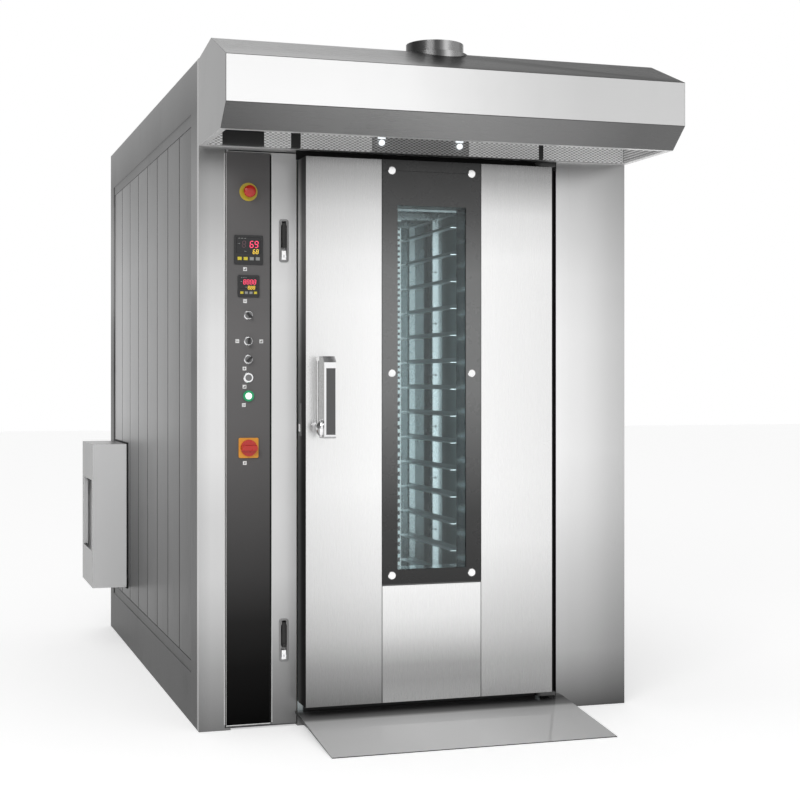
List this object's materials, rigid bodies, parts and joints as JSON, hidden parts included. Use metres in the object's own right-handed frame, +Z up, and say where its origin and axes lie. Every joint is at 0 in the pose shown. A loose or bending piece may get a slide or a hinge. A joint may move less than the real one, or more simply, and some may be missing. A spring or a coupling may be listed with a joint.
{
  "type": "rotating rack oven",
  "caption": "Walk-in rotating rack oven with a canopy hood, glazed side-hung door, control cabinet door, turntable and rack trolley, roof drive, side burner and loading ramp.",
  "frame": {"origin": "middle of the body's footprint on the floor", "axes": "+X to the right along the front, +Y from the front to the back, +Z up"},
  "size_m": [1.665, 2.77, 2.426],
  "materials": {
    "brushed_stainless": "fine vertical grain, satin",
    "casing_stainless": "satin sheet",
    "plank_stainless": "satin, bevelled planks",
    "liner_stainless": "satin, heat tinted",
    "rack_stainless": "satin tube",
    "collar_steel": "rolled sheet",
    "bright_chrome": "polished",
    "black_steel": "gloss black",
    "frame_paint": "satin grey",
    "mineral_wool": "pressed fibre board",
    "scaled_steel": "heat scaled",
    "burner_paint": "gloss",
    "cover_paint": "satin sheet",
    "motor_paint": "semi gloss",
    "gear_steel": "machined",
    "lamp_glass": "frosted",
    "black_glass": "printed black, gloss",
    "clear_glass": "clear, faint green",
    "door_rubber": "matt",
    "wheel_resin": "moulded phenolic",
    "dark_plastic": "fine texture",
    "black_plastic": "gloss",
    "white_plastic": "gloss",
    "yellow_plastic": "satin",
    "red_plastic": "gloss"
  },
  "bodies": {
    "root": {"base_frame": "frame_paint", "casing_frame": "casing_stainless", "wall_planks": "plank_stainless", "roof_panel": "casing_stainless", "front_frame": "brushed_stainless", "hinge_jamb": "black_steel", "chamber_liner": "liner_stainless", "air_duct_wall": "liner_stainless", "insulation_slabs": "mineral_wool", "heat_exchanger": "scaled_steel", "gas_burner": "burner_paint", "burner_cover": "cover_paint", "flue_collar": "collar_steel", "steam_cascade": "liner_stainless", "hood_shell": "casing_stainless", "hood_soffit": "casing_stainless", "hood_collar": "collar_steel", "fan_motor": "motor_paint", "gearmotor": "motor_paint", "rack_bearings": "frame_paint", "control_cabinet": "frame_paint", "door_hinge_brackets": "gear_steel", "loading_ramp": "brushed_stainless", "chamber_lamp": "lamp_glass"},
    "oven_door": {"door_shell": "brushed_stainless", "door_face_panels": "brushed_stainless", "window_border": "black_glass", "window_panes": "clear_glass", "door_gasket": "door_rubber", "door_hardware": "bright_chrome"},
    "door_lever": {"door_handle": "bright_chrome", "handle_inset": "dark_plastic"},
    "control_panel": {"control_door": "brushed_stainless", "control_fascia": "black_steel", "latch_dishes": "dark_plastic", "controllers": "dark_plastic", "operator_bezels": "bright_chrome", "switch_plates": "yellow_plastic"},
    "lower_latch": {"lower_latch_lever": "gear_steel"},
    "upper_latch": {"upper_latch_lever": "gear_steel"},
    "estop": {"estop_button": "red_plastic"},
    "upper_selector": {"selector_upper": "black_plastic"},
    "middle_selector": {"selector_middle": "black_plastic"},
    "lower_selector": {"selector_lower": "black_plastic"},
    "ring_push": {"ring_button": "black_plastic"},
    "green_push": {"green_button": "white_plastic"},
    "main_switch": {"isolator_knob": "red_plastic"},
    "rack_rotor": {"turntable": "liner_stainless", "drive_yoke": "rack_stainless", "drive_gear": "gear_steel", "rack_frame": "rack_stainless", "rack_runners": "rack_stainless"},
    "left_castor": {"castor_fork_left": "gear_steel"},
    "right_castor": {"castor_fork_right": "gear_steel"},
    "front_left_wheel": {"front_wheel_left": "wheel_resin"},
    "front_right_wheel": {"front_wheel_right": "wheel_resin"},
    "rear_left_wheel": {"rear_wheel_left": "wheel_resin"},
    "rear_right_wheel": {"rear_wheel_right": "wheel_resin"},
    "pinion": {"drive_pinion": "gear_steel"},
    "fan": {"fan_impeller": "gear_steel"}
  },
  "joints": [
    {"name": "oven_door_hinge", "type": "hinge", "parent": "root", "child": "oven_door", "pos_m": [0.415, -1.21, 0.976], "axis": [0, 0, 1], "range_deg": [0, 110]},
    {"name": "door_lever_pivot", "type": "hinge", "parent": "oven_door", "child": "door_lever", "pos_m": [-0.382, -1.277, 1.089], "axis": [0, 0, -1], "range_deg": [0, 25]},
    {"name": "control_panel_hinge", "type": "hinge", "parent": "root", "child": "control_panel", "pos_m": [-0.665, -1.144, 0.95], "axis": [0, 0, -1], "range_deg": [0, 100]},
    {"name": "lower_latch_pivot", "type": "hinge", "parent": "control_panel", "child": "lower_latch", "pos_m": [-0.4775, -1.152, 0.343], "axis": [-1, 0, 0], "range_deg": [0, 60]},
    {"name": "upper_latch_pivot", "type": "hinge", "parent": "control_panel", "child": "upper_latch", "pos_m": [-0.4775, -1.152, 1.661], "axis": [-1, 0, 0], "range_deg": [0, 60]},
    {"name": "estop_press", "type": "slide", "parent": "control_panel", "child": "estop", "axis": [0, 1, 0], "range_m": [0, 0.005]},
    {"name": "upper_selector_turn", "type": "hinge", "parent": "control_panel", "child": "upper_selector", "pos_m": [-0.596, -1.16, 1.357], "axis": [0, 1, 0], "range_deg": [0, 90]},
    {"name": "middle_selector_turn", "type": "hinge", "parent": "control_panel", "child": "middle_selector", "pos_m": [-0.596, -1.16, 1.272], "axis": [0, 1, 0], "range_deg": [-45, 45]},
    {"name": "lower_selector_turn", "type": "hinge", "parent": "control_panel", "child": "lower_selector", "pos_m": [-0.596, -1.16, 1.212], "axis": [0, 1, 0], "range_deg": [-90, 0]},
    {"name": "ring_push_press", "type": "slide", "parent": "control_panel", "child": "ring_push", "axis": [0, 1, 0], "range_m": [0, 0.003], "stiffness_N_per_m": 400},
    {"name": "green_push_press", "type": "slide", "parent": "control_panel", "child": "green_push", "axis": [0, 1, 0], "range_m": [0, 0.003], "stiffness_N_per_m": 400},
    {"name": "main_switch_turn", "type": "hinge", "parent": "control_panel", "child": "main_switch", "pos_m": [-0.596, -1.162, 0.922], "axis": [0, 1, 0], "range_deg": [0, 90]},
    {"name": "rack_rotation", "type": "hinge", "parent": "root", "child": "rack_rotor", "pos_m": [0, -0.245, 1], "axis": [0, 0, 1], "continuous": true},
    {"name": "left_castor_swivel", "type": "hinge", "parent": "rack_rotor", "child": "left_castor", "pos_m": [-0.325, -0.515, 0.13], "axis": [0, 0, 1], "continuous": true},
    {"name": "right_castor_swivel", "type": "hinge", "parent": "rack_rotor", "child": "right_castor", "pos_m": [0.325, -0.515, 0.13], "axis": [0, 0, 1], "continuous": true},
    {"name": "front_left_wheel_spin", "type": "hinge", "parent": "left_castor", "child": "front_left_wheel", "pos_m": [-0.325, -0.487, 0.0983], "axis": [1, 0, 0], "continuous": true},
    {"name": "front_right_wheel_spin", "type": "hinge", "parent": "right_castor", "child": "front_right_wheel", "pos_m": [0.325, -0.487, 0.0983], "axis": [1, 0, 0], "continuous": true},
    {"name": "rear_left_wheel_spin", "type": "hinge", "parent": "rack_rotor", "child": "rear_left_wheel", "pos_m": [-0.325, 0.025, 0.0983], "axis": [1, 0, 0], "continuous": true},
    {"name": "rear_right_wheel_spin", "type": "hinge", "parent": "rack_rotor", "child": "rear_right_wheel", "pos_m": [0.325, 0.025, 0.0983], "axis": [1, 0, 0], "continuous": true},
    {"name": "pinion_spin", "type": "hinge", "parent": "root", "child": "pinion", "pos_m": [0.16, -0.245, 2.314], "axis": [0, 0, 1], "continuous": true},
    {"name": "fan_spin", "type": "hinge", "parent": "root", "child": "fan", "pos_m": [0, 0.685, 1.95], "axis": [0, 0, 1], "continuous": true}
  ],
  "couplings": [
    {"joint": "pinion_spin", "follows": "rack_rotation", "ratio": -3}
  ]
}
